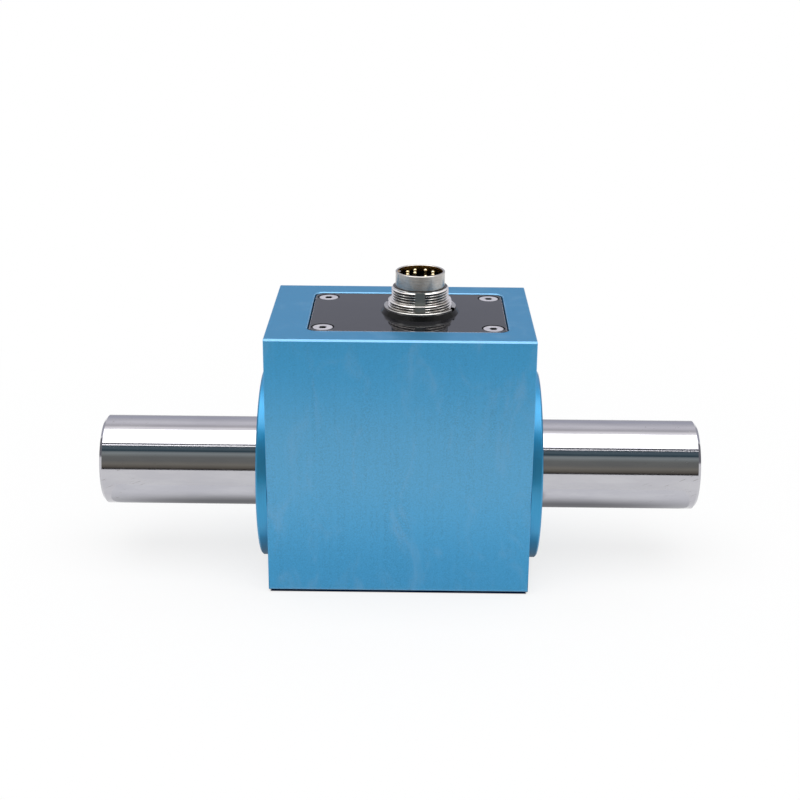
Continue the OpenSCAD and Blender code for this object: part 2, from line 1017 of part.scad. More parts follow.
module signal_rotor_coil() {
    left_side()
        rotor_coil();
}

module bearing_inner_right() {
    color(bearing_steel)
        turned()
            difference() {
                ring_profile(bearing_id / 2, pitch_r - ring_gap, bearing_in_x, bearing_b);
                race_profile();
            }
}

module bearing_inner_left() {
    left_side()
        bearing_inner_right();
}

module retaining_ring_right() {
    mouth_w = 6;
    color(bearing_steel)
        difference() {
            turned()
                ring_profile(snap_r + fit_gap, snap_out_r, bearing_out_x, snap_t);
            translate([bearing_out_x - cut, -mouth_w / 2, axis_h - snap_out_r - cut])
                cube([snap_t + 2 * cut, mouth_w, snap_out_r + cut]);
        }
}

module retaining_ring_left() {
    left_side()
        retaining_ring_right();
}

// Puts children at the ball places of the right-hand bearing, with X pointing outwards
module at_balls() {
    for (i = [0:ball_count - 1])
        on_axis(bearing_mid_x)
            rotate([0, 0, i * 360 / ball_count])
                children();
}

module bearing_balls_right() {
    color(steel)
        at_balls()
            translate([pitch_r, 0, 0])
                sphere(d = ball_d);
}

module bearing_balls_left() {
    left_side()
        bearing_balls_right();
}

module bearing_cage_right() {
    cage_t = 2 * (ring_gap - cage_gap);
    cage_wall = 0.8;
    cage_l = ball_d + 2 * cage_wall;
    color(cage_brass)
        difference() {
            turned()
                ring_profile(
                    pitch_r - cage_t / 2, pitch_r + cage_t / 2, bearing_mid_x - cage_l / 2, cage_l
                );
            at_balls()
                translate([pitch_r - cage_t, 0, 0])
                    rotate([0, 90, 0])
                        cylinder(d = ball_d + 2 * cage_gap, h = 2 * cage_t);
        }
}

module bearing_cage_left() {
    left_side()
        bearing_cage_right();
}

housing();
end_cap_left();
end_cap_right();
cap_screws_left();
cap_screws_right();
shaft_seal_left();
shaft_seal_right();
bearing_outer_left();
bearing_outer_right();
power_stator_core();
power_stator_coil();
signal_stator_core();
signal_stator_coil();
stator_spacer();
coil_leads();
main_board();
board_chips();
board_screws();
cover_gasket();
cover_plate();
cover_screws();
connector_shell();
connector_insert();
connector_pins();
connector_leads();
connector_ring();
connector_washer();
connector_nut();
torque_shaft();
strain_gauges();
rotor_board();
power_rotor_core();
power_rotor_coil();
signal_rotor_core();
signal_rotor_coil();
bearing_inner_left();
bearing_inner_right();
retaining_ring_left();
retaining_ring_right();
bearing_balls_left();
bearing_balls_right();
bearing_cage_left();
bearing_cage_right();
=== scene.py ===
"""Looks of the rotary torque sensor: camera, stage, light, materials and the threaded connector shell."""

import json
import math
from collections import namedtuple

import bpy
from mathutils import Matrix, Vector


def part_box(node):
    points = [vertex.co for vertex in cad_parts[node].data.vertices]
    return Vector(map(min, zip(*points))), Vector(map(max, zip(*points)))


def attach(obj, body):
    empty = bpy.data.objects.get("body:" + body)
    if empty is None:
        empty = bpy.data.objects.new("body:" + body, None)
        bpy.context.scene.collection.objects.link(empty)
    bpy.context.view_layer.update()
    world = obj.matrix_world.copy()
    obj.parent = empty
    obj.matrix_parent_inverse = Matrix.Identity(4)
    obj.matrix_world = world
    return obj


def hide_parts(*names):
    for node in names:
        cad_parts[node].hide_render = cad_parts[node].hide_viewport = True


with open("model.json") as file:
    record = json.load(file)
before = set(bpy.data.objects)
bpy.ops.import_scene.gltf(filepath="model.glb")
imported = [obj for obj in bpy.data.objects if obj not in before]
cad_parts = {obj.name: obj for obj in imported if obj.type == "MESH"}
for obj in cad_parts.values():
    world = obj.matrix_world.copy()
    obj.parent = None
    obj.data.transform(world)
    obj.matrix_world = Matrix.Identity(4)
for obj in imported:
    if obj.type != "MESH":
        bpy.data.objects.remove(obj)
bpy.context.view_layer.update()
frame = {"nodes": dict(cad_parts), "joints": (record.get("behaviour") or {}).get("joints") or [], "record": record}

MM = 0.001

# Camera: focal length in pixels of the square frame, angles in degrees, place and near limit in metres
IMAGE_SIZE = 800
SENSOR_MM = 36
FOCAL_PX = 1481.292
CAMERA_YAW = -0.482
CAMERA_PITCH = 19.74
CAMERA_ROLL = 0.438
CAMERA_PLACE = Vector((0.003199, -0.396535, 0.189164))
CLIP_START = 0.01

# Stage and light, in metres; radiance 1 shows as white
FLOOR_HALF = 6.0
FLOOR_DROP = 0.0005
FLOOR_COLOUR = (0.92, 0.92, 0.92, 1)
# Contact shadow under the block, real and deepened by a painted dark floor colour: its colour, and where it fades
# out, in millimetres past the block's sides
CONTACT_COLOUR = (0.006, 0.05, 0.19, 1)
CONTACT_FADE = (-0.7, -0.2)
# Share of plain white in the floor near the object, and the distances at which it starts to rise and is full
FLOOR_WHITE_NEAR = 0.76
FLOOR_WHITE_FROM = 0.04
FLOOR_WHITE_TO = 0.25
# Strength of the surround for the rays that only light the object
AMBIENT = 0.55
SOFTBOX_HEIGHT = 0.95
SOFTBOX_FRONT = -0.605
SOFTBOX_BACK = 0.24
SOFTBOX_WIDTH = 1.4
SOFTBOX_RADIANCE = 2.0
SOFTBOX_FRAME = 0.045
FRAME_COLOUR = (0.10, 0.11, 0.12)
# Rib under the softbox: its front edge at the left and at the right end, and its back edge
SOFTBOX_RIB = (-0.545, -0.600, -0.475)
RIB_COLOUR = (0.15, 0.155, 0.17)
STRIP_GAP = 0.005
# Cards: the two ends of each card's foot, its height, and its colours from foot to top, each with
# its share of the height
FRONT_CARD = ((-0.40, -0.28), (0.40, -0.28), 0.426, (
    (0.00, (0.028, 0.028, 0.032)),
    (0.03, (0.050, 0.046, 0.043)),
    (0.08, (0.165, 0.150, 0.124)),
    (0.17, (0.262, 0.250, 0.215)),
    (0.27, (0.205, 0.210, 0.198)),
    (0.40, (0.212, 0.222, 0.210)),
    (0.54, (0.350, 0.390, 0.385)),
    (0.60, (0.260, 0.300, 0.305)),
    (0.66, (0.040, 0.075, 0.095)),
    (0.80, (0.120, 0.170, 0.195)),
    (1.00, (0.100, 0.140, 0.165)),
))
BACK_CARD = ((-0.9, 0.52), (0.9, 0.52), 1.85, (
    (0.00, (0.46, 0.46, 0.50)),
    (0.12, (0.55, 0.56, 0.65)),
    (0.20, (0.70, 0.70, 0.75)),
    (0.30, (0.90, 0.89, 0.94)),
    (0.38, (0.88, 0.87, 0.91)),
    (0.50, (0.69, 0.68, 0.71)),
    (0.58, (0.72, 0.71, 0.73)),
    (0.72, (1.14, 1.11, 1.12)),
    (1.00, (1.40, 1.37, 1.38)),
))
SIDE_CARD_BANDS = ((0.0, (0.22, 0.22, 0.24)), (1.0, (0.30, 0.30, 0.32)))
LEFT_CARD = ((-0.7, -0.25), (-0.7, 0.35), 0.4, SIDE_CARD_BANDS)
RIGHT_CARD = ((0.7, -0.25), (0.7, 0.35), 0.4, SIDE_CARD_BANDS)
# Shade on the floor under the shaft ends, in millimetres: it deepens from front to back and inwards
SHADE_X = (36.5, 86.0)
SHADE_Y = (-34.0, 24.0)
SHADE_LIFT = 0.5
SHADE_DEEP_Y = (-26.0, 4.0)
SHADE_DEEP_X = (125.0, 46.0)
SHADE_DEPTH = 0.74
SHADE_CAP_X = (45.0, 40.0)
SHADE_CAP_Y = (-33.0, -24.0)

# The shaft's axis, from the frame
AXIS_HEIGHT_MM = frame["joints"][0]["pos_m"][2] / MM


class Nodes:
    """A node tree, with short calls to add and join its nodes."""

    def __init__(self, tree):
        self.tree = tree

    def feed(self, socket, value):
        """Sets a socket to a constant, or links it to another node's output."""
        if isinstance(value, bpy.types.NodeSocket):
            self.tree.links.new(value, socket)
        else:
            socket.default_value = value

    def add(self, kind, inputs=(), **settings):
        """Adds a node with its settings, and feeds its inputs by name or number."""
        node = self.tree.nodes.new(kind)
        for name, value in settings.items():
            setattr(node, name, value)
        for key, value in dict(inputs).items():
            self.feed(node.inputs[key], value)
        return node

    def math(self, operation, a, b=0.0):
        """Joins two values by a named operation."""
        return self.add("ShaderNodeMath", {0: a, 1: b}, operation=operation).outputs[0]

    def times(self, a, b):
        """The product of two values."""
        return self.math("MULTIPLY", a, b)


class Shader(Nodes):
    """A new material's node tree."""

    def __init__(self, name):
        self.material = bpy.data.materials.new(name)
        self.material.use_nodes = True
        super().__init__(self.material.node_tree)
        self.bsdf = self.tree.nodes["Principled BSDF"]

    def surface(self, **inputs):
        """Feeds the Principled shader: an underscore in a name stands for a space."""
        for name, value in inputs.items():
            self.feed(self.bsdf.inputs[name.replace("_", " ")], value)
        return self.material

    def glow(self, colour, strength=1.0):
        """An even glow of a colour."""
        return self.add("ShaderNodeEmission", {"Color": colour, "Strength": strength}).outputs[0]

    def show(self, shader):
        """Puts a shader in the place of the Principled one."""
        self.feed(self.tree.nodes["Material Output"].inputs["Surface"], shader)
        return self.material

    def place(self):
        """The place on the part, in millimetres, as separate x, y and z."""
        where = self.add("ShaderNodeTexCoord").outputs["Object"]
        scaled = self.add("ShaderNodeVectorMath", {0: where, "Scale": 1 / MM}, operation="SCALE")
        return self.add("ShaderNodeSeparateXYZ", {0: scaled.outputs[0]}).outputs

    def facing(self):
        """The sizes of the surface normal's x, y and z."""
        normal = self.add("ShaderNodeNewGeometry").outputs["True Normal"]
        size = self.add("ShaderNodeVectorMath", {0: normal}, operation="ABSOLUTE")
        return self.add("ShaderNodeSeparateXYZ", {0: size.outputs[0]}).outputs

    def vector(self, x=0.0, y=0.0, z=0.0):
        """A vector from its parts."""
        return self.add("ShaderNodeCombineXYZ", {0: x, 1: y, 2: z}).outputs[0]

    def radius(self, y, z, centre_y=0.0, centre_z=AXIS_HEIGHT_MM):
        """The distance from an axis, in millimetres."""
        across = self.math("SUBTRACT", y, centre_y)
        up = self.math("SUBTRACT", z, centre_z)
        squares = self.math("ADD", self.times(across, across), self.times(up, up))
        return self.math("SQRT", squares)

    def noise(self, vector, scale=1.0, detail=2.0, roughness=0.5, distortion=0.0):
        """Cloudy noise from 0 to 1."""
        inputs = {"Vector": vector, "Scale": scale, "Detail": detail, "Roughness": roughness,
                  "Distortion": distortion}
        return self.add("ShaderNodeTexNoise", inputs).outputs["Fac"]

    def stretched(self, axes, x_scale, y_scale, z_scale, **settings):
        """Noise with its own scale, in features per millimetre, along each axis."""
        parts = [self.times(axis, scale) for axis, scale in zip(axes, (x_scale, y_scale, z_scale))]
        return self.noise(self.vector(*parts), **settings)

    def span(self, value, low, high, to_low=0.0, to_high=1.0):
        """Maps a range smoothly onto another and holds the ends."""
        inputs = {"Value": value, "From Min": low, "From Max": high, "To Min": to_low, "To Max": to_high}
        return self.add("ShaderNodeMapRange", inputs, interpolation_type="SMOOTHSTEP").outputs[0]

    def blend(self, factor, a, b):
        """Mixes two values."""
        return self.add("ShaderNodeMix", {0: factor, 2: a, 3: b}, data_type="FLOAT").outputs[0]

    def mix(self, factor, a, b):
        """Mixes two colours."""
        return self.add("ShaderNodeMix", {0: factor, 6: a, 7: b}, data_type="RGBA").outputs[2]

    def bump(self, height, distance_mm, strength):
        """A surface normal tilted by a height."""
        inputs = {"Height": height, "Distance": distance_mm * MM, "Strength": strength}
        return self.add("ShaderNodeBump", inputs).outputs[0]


def rgba(colour, factor=1.0):
    """A colour made lighter or darker by a factor, with its alpha."""
    return tuple(min(channel * factor, 1.0) for channel in colour) + (1.0,)


# Materials of the outside

BLUE = (0.058, 0.320, 0.583)
TURNED_BLUE = (0.034, 0.308, 0.565)
PALE_BLUE = (0.34, 0.51, 0.67)
# Tint of the painted light band across the middle height of the block's faces
MIDDLE_LIGHT_TINT = (0.72, 0.90, 0.76)
# Heights on the block, in millimetres, between which the painted light band across the middle and the painted
# glint rise and fall, and between which the painted dark line of shade along the foot ends
MIDDLE_LIGHT_RISE = (6.0, 36.0)
MIDDLE_LIGHT_FALL = (42.0, 68.0)
PAINTED_GLINT_RISE = (0.30, 0.38)
PAINTED_GLINT_FALL = (0.80, 1.10)
FOOT_SHADE_LINE = (0.22, 0.34)
FOOT_SHADE_COLOUR = (0.001, 0.006, 0.035, 1)
# In millimetres: the bevel round the plate, which carries a painted highlight, the radius of the cover screws'
# heads, how far from it the painted shade on their rims begins and is full, and how far out the painted shade ring
# in the plate round them fades
PLATE_BEVEL = 0.2
SCREW_R = 2.85
SCREW_RIM = (-0.26, -0.12)
SCREW_RING = (0.20, 0.34)
# The ring nut's notch: width, depth and the soft edge of its painted shade in millimetres, and its turn
NOTCH_W = 2.0
NOTCH_DEPTH = 1.0
NOTCH_EDGE = (0.02, 0.06)
NOTCH_TURN = math.radians(-22.5)
NICKEL_RINGS_PER_MM = 14.0
# Heights above the thread's top between which the socket's wall turns from painted shade to a painted gold glint
SOCKET_GLINT_RISE = (2.4, 4.1)


def anodised_block():
    """Satin blue anodising on milled faces: fine speckle, faint streaks and pale wisps, with painted light and
    shade.
    """
    s = Shader("anodised_blue")
    x, y, z = s.place()
    nx, ny, nz = s.facing()
    speckle = s.noise(s.vector(x, y, z), scale=2.4, detail=2.0, roughness=0.7)
    down = s.stretched((x, y, z), 1.1, 1.1, 0.03, detail=3.0, roughness=0.6)
    along = s.stretched((x, y, z), 0.04, 1.4, 0.04, detail=3.0, roughness=0.6)
    on_top = s.span(nz, 0.75, 0.95)
    streak = s.blend(on_top, down, along)
    mottle = s.stretched((x, y, z), 0.05, 0.05, 0.03, detail=3.0, roughness=0.6)
    wisp = s.stretched((x, y, z), 0.11, 0.11, 0.05, detail=5.0, roughness=0.6, distortion=1.0)
    wisp = s.span(wisp, 0.50, 0.78)
    painted_middle_light = s.times(s.span(z, *MIDDLE_LIGHT_RISE), s.span(z, *MIDDLE_LIGHT_FALL, 1.0, 0.0))
    colour = s.mix(s.span(speckle, 0.25, 0.75), rgba(BLUE, 0.78), rgba(BLUE, 1.22))
    colour = s.mix(s.span(streak, 0.3, 0.7, 0.0, 0.45), colour, rgba(BLUE, 1.14))
    colour = s.mix(s.span(mottle, 0.35, 0.70, 0.0, 0.25), colour, rgba(BLUE, 1.12))
    # Painted shade darkens the faces low down near the floor, and painted light brightens them high up
    colour = s.mix(s.span(z, 4.0, 24.0, 0.35, 0.0), colour, rgba(BLUE, 0.80))
    colour = s.mix(s.span(z, 44.0, 70.0, 0.0, 0.35), colour, rgba(BLUE, 1.18))
    # Painted shade: faces that look upwards are darker
    colour = s.mix(s.times(on_top, 0.5), colour, rgba(BLUE, 0.58))
    # Painted light: a pale band across the middle height of the faces
    colour = s.mix(s.times(painted_middle_light, 0.07), colour, rgba(MIDDLE_LIGHT_TINT))
    colour = s.mix(s.times(wisp, 0.18), colour, rgba(PALE_BLUE))
    # Painted highlight: a pale tint on the bevels next to the top and bottom faces
    largest = s.math("MAXIMUM", s.math("MAXIMUM", nx, ny), nz)
    bevel = s.times(s.span(largest, 0.75, 0.95, 1.0, 0.0), s.span(nz, 0.3, 0.6))
    colour = s.mix(s.times(bevel, 0.45), colour, rgba(PALE_BLUE))
    # Painted highlight: a pale line just above the foot
    painted_glint = s.times(s.span(z, *PAINTED_GLINT_RISE), s.span(z, *PAINTED_GLINT_FALL, 1.0, 0.0))
    colour = s.mix(s.times(painted_glint, 0.10), colour, rgba(PALE_BLUE))
    # Painted shade: a dark line along the foot, where the reflection is also taken away
    painted_foot_shade = s.span(z, *FOOT_SHADE_LINE, 1.0, 0.0)
    colour = s.mix(painted_foot_shade, colour, FOOT_SHADE_COLOUR)
    shine = s.span(painted_foot_shade, 0.0, 1.0, 0.5, 0.0)
    rough = s.span(speckle, 0.25, 0.75, 0.34, 0.42)
    rough = s.math("ADD", rough, s.times(wisp, 0.05))
    normal = s.bump(speckle, 0.004, 0.3)
    return s.surface(Base_Color=colour, Metallic=0.6, Roughness=rough, Normal=normal,
                     Specular_IOR_Level=shine, Specular_Tint=(0.76, 0.84, 0.96, 1))


def anodised_turned():
    """The same anodising on lathe-turned faces, with fine rings about the shaft's axis, and painted shade low down
    near the floor.
    """
    s = Shader("anodised_turned")
    x, y, z = s.place()
    r = s.radius(y, z)
    ring = s.noise(s.vector(s.times(x, 6.0), s.times(r, 6.0)), detail=3.0)
    mottle = s.stretched((x, y, z), 0.12, 0.12, 0.12, detail=3.0)
    colour = s.mix(s.span(ring, 0.3, 0.7), rgba(TURNED_BLUE, 0.92), rgba(TURNED_BLUE, 1.06))
    colour = s.mix(s.span(mottle, 0.4, 0.7, 0.0, 0.3), colour, rgba(TURNED_BLUE, 1.15))
    # Painted shade: darker low down near the floor
    colour = s.mix(s.span(z, 0.0, 12.0, 0.7, 0.0), colour, rgba(TURNED_BLUE, 0.45))
    rough = s.span(ring, 0.3, 0.7, 0.43, 0.50)
    normal = s.bump(ring, 0.002, 0.3)
    return s.surface(Base_Color=colour, Metallic=0.92, Roughness=rough, Normal=normal,
                     Coat_Weight=0.6, Coat_Roughness=0.22)


def ground_steel():
    """Mirror-ground steel: hair-fine rings round the shaft, turned end faces and a few scratches."""
    s = Shader("ground_steel")
    x, y, z = s.place()
    r = s.radius(y, z)
    on_end = s.span(s.facing()["X"], 0.6, 0.9)
    lines = s.noise(s.vector(s.times(x, 7.0)), detail=4.0, roughness=0.7)
    turns = s.noise(s.vector(s.times(r, 5.0)), detail=3.0, roughness=0.6)
    marks = s.blend(on_end, lines, turns)
    slant = s.math("ADD", s.times(x, 0.9), s.times(z, 0.5))
    steep = s.math("SUBTRACT", s.times(z, 0.9), s.times(x, 0.4))
    scratch = s.noise(s.vector(s.times(slant, 0.25), s.times(steep, 3.5), y), detail=1.0)
    scratch = s.span(scratch, 0.70, 0.76)
    near_end = s.span(s.math("ABSOLUTE", x), 60.0, 76.0)
    scratch = s.times(scratch, near_end)
    smear = s.stretched((x, y, z), 0.06, 0.25, 0.25, detail=4.0, roughness=0.6)
    colour = s.mix(s.span(smear, 0.35, 0.7), (0.490, 0.485, 0.520, 1), (0.535, 0.530, 0.560, 1))
    colour = s.mix(s.times(scratch, 0.6), colour, (0.30, 0.29, 0.28, 1))
    rough = s.span(smear, 0.3, 0.75, 0.055, 0.10)
    rough = s.math("ADD", rough, s.times(on_end, 0.10))
    rough = s.math("ADD", rough, s.times(scratch, 0.25))
    normal = s.bump(marks, 0.0012, 0.35)
    return s.surface(Base_Color=colour, Metallic=1.0, Roughness=rough, Normal=normal)


def past_screw(shader, x, y):
    """Distance past the head's edge of the nearest of the four cover screws, in millimetres."""
    low, high = (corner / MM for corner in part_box("cover_screws"))
    centre = (low + high) / 2
    spread = (high - low) / 2
    near_x = shader.math("ABSOLUTE", shader.math("SUBTRACT", x, centre.x))
    near_y = shader.math("ABSOLUTE", shader.math("SUBTRACT", y, centre.y))
    from_axis = shader.radius(near_x, near_y, spread.x - SCREW_R, spread.y - SCREW_R)
    return shader.math("SUBTRACT", from_axis, SCREW_R)


def gloss_black(low_mm, high_mm):
    """Gloss black plate between two corners: a trace of dust and wiping marks, a painted highlight on the bevel
    round it, and painted shade in its holes and round the screws.
    """
    s = Shader("gloss_black")
    x, y, z = s.place()
    smear = s.stretched((x, y, z), 0.10, 0.35, 0.1, detail=4.0, roughness=0.6, distortion=0.8)
    dust = s.span(s.noise(s.vector(x, y, z), scale=2.6, detail=1.0), 0.76, 0.80)
    colour = s.mix(s.span(smear, 0.4, 0.7), (0.006, 0.006, 0.008, 1), (0.010, 0.010, 0.013, 1))
    colour = s.mix(s.times(dust, 0.25), colour, (0.20, 0.20, 0.20, 1))
    centre = (low_mm + high_mm) / 2
    half = (high_mm - low_mm) / 2
    past_x = s.math("SUBTRACT", s.math("ABSOLUTE", s.math("SUBTRACT", x, centre.x)), half.x)
    past_y = s.math("SUBTRACT", s.math("ABSOLUTE", s.math("SUBTRACT", y, centre.y)), half.y)
    on_rim = s.span(s.math("MAXIMUM", past_x, past_y), -PLATE_BEVEL - 0.04, -PLATE_BEVEL + 0.02)
    below = s.span(z, high_mm.z - 0.06, high_mm.z - 0.02, 1.0, 0.0)
    bevel_foot = high_mm.z - PLATE_BEVEL
    painted_bevel_highlight = s.times(on_rim, s.span(z, bevel_foot - 0.02, bevel_foot + 0.04))
    # Painted shade: dark walls in the plate's holes, and a dark ring on the plate round each screw, with little
    # reflection there
    painted_hole_shade = s.times(below, s.math("SUBTRACT", 1.0, on_rim))
    painted_screw_ring_shade = s.span(past_screw(s, x, y), *SCREW_RING, 1.0, 0.0)
    painted_hole_shade = s.math("MAXIMUM", painted_hole_shade, painted_screw_ring_shade)
    # Painted highlight: a pale tint on the bevel round the plate
    colour = s.mix(painted_bevel_highlight, colour, (0.42, 0.38, 0.40, 1))
    colour = s.mix(painted_hole_shade, colour, (0.002, 0.002, 0.002, 1))
    rough = s.span(smear, 0.35, 0.75, 0.035, 0.07)
    rough = s.math("ADD", rough, s.times(dust, 0.2))
    rough = s.math("ADD", rough, s.times(painted_hole_shade, 0.6))
    shine = s.span(painted_hole_shade, 0.0, 1.0, 0.5, 0.05)
    return s.surface(Base_Color=colour, Roughness=rough, IOR=1.42, Specular_IOR_Level=shine,
                     Specular_Tint=(0.80, 0.84, 1.0, 1))


def bright_screw(name, axis, top_mm, with_rim_shade=False):
    """Bright screws with turning marks, painted shade in their sockets and maybe round the rims of their heads,
    that lie along an axis, 0 to 2.
    """
    s = Shader(name)
    place = s.place()
    depth = s.math("SUBTRACT", top_mm, s.math("ABSOLUTE", place[axis]))
    painted_socket_shade = s.span(depth, 0.03, 0.25)
    grain = s.stretched(place, 6.0, 6.0, 6.0, detail=3.0)
    stain = s.stretched(place, 0.6, 0.6, 0.6, detail=2.0)
    colour = s.mix(s.span(stain, 0.35, 0.7), (0.58, 0.565, 0.61, 1), (0.68, 0.665, 0.70, 1))
    # Painted shade in the screw sockets
    colour = s.mix(painted_socket_shade, colour, (0.008, 0.008, 0.010, 1))
    # Painted shade round the rim of each head
    if with_rim_shade:
        painted_rim_shade = s.span(past_screw(s, place[0], place[1]), *SCREW_RIM)
        colour = s.mix(painted_rim_shade, colour, (0.02, 0.02, 0.024, 1))
    rough = s.span(grain, 0.3, 0.7, 0.34, 0.46)
    normal = s.bump(grain, 0.004, 0.4)
    return s.surface(Base_Color=colour, Metallic=0.7, Roughness=rough, Normal=normal)


def plate_marks(shader, x, y, z):
    """Fine turning rings and cloudy stain of the nickel plate."""
    rings = shader.noise(shader.vector(shader.times(z, NICKEL_RINGS_PER_MM)), detail=3.0, roughness=0.6)
    stain = shader.stretched((x, y, z), 0.5, 0.5, 0.25, detail=3.0)
    return rings, stain


def nickel():
    """Satin nickel plate over turned brass: fine rings, and painted shade in the notch across the ring nut."""
    s = Shader("nickel_plate")
    x, y, z = s.place()
    rings, stain = plate_marks(s, x, y, z)
    colour = s.mix(s.span(stain, 0.35, 0.7), (0.46, 0.45, 0.43, 1), (0.58, 0.57, 0.55, 1))
    low, high = (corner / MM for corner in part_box("connector_nut"))
    centre = (low + high) / 2
    from_x = s.times(s.math("SUBTRACT", x, centre.x), -math.sin(NOTCH_TURN))
    from_y = s.times(s.math("SUBTRACT", y, centre.y), math.cos(NOTCH_TURN))
    off = s.math("ABSOLUTE", s.math("ADD", from_x, from_y))
    past_side = s.math("SUBTRACT", off, NOTCH_W / 2)
    under_floor = s.math("SUBTRACT", high.z - NOTCH_DEPTH, z)
    # Painted shade in the notch across the ring nut
    painted_notch_shade = s.times(s.span(past_side, *NOTCH_EDGE, 1.0, 0.0), s.span(under_floor, *NOTCH_EDGE, 1.0, 0.0))
    colour = s.mix(painted_notch_shade, colour, (0.03, 0.03, 0.03, 1))
    rough = s.span(rings, 0.3, 0.7, 0.18, 0.28)
    normal = s.bump(rings, 0.003, 0.4)
    return s.surface(Base_Color=colour, Metallic=1.0, Roughness=rough, Normal=normal)


def threaded_nickel(thread_top_mm):
    """The same plate on the threaded shell: bright threads with painted shade on their undersides and in their
    roots, a satin nose, and a socket in painted shade that turns to a painted gold glint near the mouth.
    """
    s = Shader("threaded_nickel")
    x, y, z = s.place()
    finish = s.add("ShaderNodeAttribute", attribute_name=FINISH).outputs["Color"]
    groove, slot, inside = s.add("ShaderNodeSeparateXYZ", {0: finish}).outputs
    on_nose = s.span(z, thread_top_mm + 0.01, thread_top_mm + 0.05)
    rings, stain = plate_marks(s, x, y, z)
    true_normal = s.add("ShaderNodeNewGeometry").outputs["True Normal"]
    up = s.add("ShaderNodeSeparateXYZ", {0: true_normal}).outputs["Z"]
    # The flanks are a touch lighter than the crests; painted shade darkens the undersides and makes the roots near
    # black
    thread = s.mix(s.span(groove, 0.04, 0.20), (0.90, 0.87, 0.84, 1), (0.98, 0.95, 0.92, 1))
    thread = s.mix(s.span(up, -0.35, -0.10, 1.0, 0.0), thread, (0.55, 0.525, 0.50, 1))
    thread = s.mix(s.span(groove, 0.66, 0.96), thread, (0.05, 0.046, 0.044, 1))
    nose = s.mix(s.span(stain, 0.35, 0.7), (0.46, 0.435, 0.41, 1), (0.56, 0.535, 0.505, 1))
    colour = s.mix(on_nose, thread, nose)
    colour = s.mix(slot, colour, (0.33, 0.34, 0.325, 1))
    above_thread = s.math("SUBTRACT", z, thread_top_mm)
    # Painted shade deep in the socket, turning to a painted gold glint higher up the wall
    painted_socket_glint_and_shade = s.mix(s.span(above_thread, *SOCKET_GLINT_RISE), (0.010, 0.008, 0.006, 1), (0.80, 0.48, 0.15, 1))
    colour = s.mix(inside, colour, painted_socket_glint_and_shade)
    rough = s.span(rings, 0.3, 0.7, 0.22, 0.30)
    rough = s.math("ADD", rough, s.times(slot, 0.30))
    normal = s.bump(rings, 0.004, 0.5)
    return s.surface(Base_Color=colour, Metallic=1.0, Roughness=rough, Normal=normal)


def gilt():
    """Gold plate on the contacts, faintly stained."""
    s = Shader("contact_gold")
    x, y, z = s.place()
    stain = s.stretched((x, y, z), 1.2, 1.2, 0.4, detail=3.0)
    colour = s.mix(s.span(stain, 0.3, 0.7), (0.92, 0.72, 0.38, 1), (0.98, 0.86, 0.58, 1))
    rough = s.span(stain, 0.3, 0.7, 0.16, 0.26)
    return s.surface(Base_Color=colour, Metallic=1.0, Roughness=rough, Normal=s.bump(stain, 0.003, 0.3))


def moulded(name, dark, light, rough_low, rough_high, grain_scale=4.0, depth_mm=0.006, ior=1.5):
    """Moulded plastic or rubber: a fine surface grain and faint cloudy variation."""
    s = Shader(name)
    x, y, z = s.place()
    grain = s.noise(s.vector(x, y, z), scale=grain_scale, detail=3.0, roughness=0.6)
    cloud = s.noise(s.vector(x, y, z), scale=0.25, detail=2.0)
    colour = s.mix(s.span(cloud, 0.35, 0.7), rgba(dark), rgba(light))
    rough = s.span(grain, 0.3, 0.7, rough_low, rough_high)
    return s.surface(Base_Color=colour, Roughness=rough, Normal=s.bump(grain, depth_mm, 0.5), IOR=ior)


# Materials of the inside

def turned_metal(name, dark, light, rough_low, rough_high):
    """Metal turned about the shaft's axis, with fine rings."""
    s = Shader(name)
    x, y, z = s.place()
    r = s.radius(y, z)
    rings_per_mm = 5.0
    rings = s.noise(s.vector(s.times(x, rings_per_mm), s.times(r, rings_per_mm)), detail=3.0)
    cloud = s.noise(s.vector(x, y, z), scale=0.2, detail=2.0)
    colour = s.mix(s.span(cloud, 0.35, 0.7), rgba(dark), rgba(light))
    rough = s.span(rings, 0.3, 0.7, rough_low, rough_high)
    return s.surface(Base_Color=colour, Metallic=1.0, Roughness=rough, Normal=s.bump(rings, 0.004, 0.4))


def copper_winding():
    """Turns of enamelled wire laid side by side, wound about the shaft's axis, with painted shade in the creases
    between them.
    """
    s = Shader("copper_winding")
    x, y, z = s.place()
    turns_per_mm = 2.5
    wave = s.math("SINE", s.times(x, 2 * math.pi * turns_per_mm))
    turn = s.span(wave, -1.0, 1.0)
    cloud = s.noise(s.vector(x, y, z), scale=0.5, detail=2.0)
    # Painted shade darkens the wire in the creases between turns
    colour = s.mix(turn, (0.20, 0.06, 0.02, 1), (0.62, 0.26, 0.10, 1))
    colour = s.mix(s.span(cloud, 0.4, 0.7, 0.0, 0.4), colour, (0.45, 0.16, 0.05, 1))
    return s.surface(Base_Color=colour, Metallic=0.8, Roughness=s.span(cloud, 0.3, 0.7, 0.22, 0.36),
                     Normal=s.bump(turn, 0.12, 0.8))


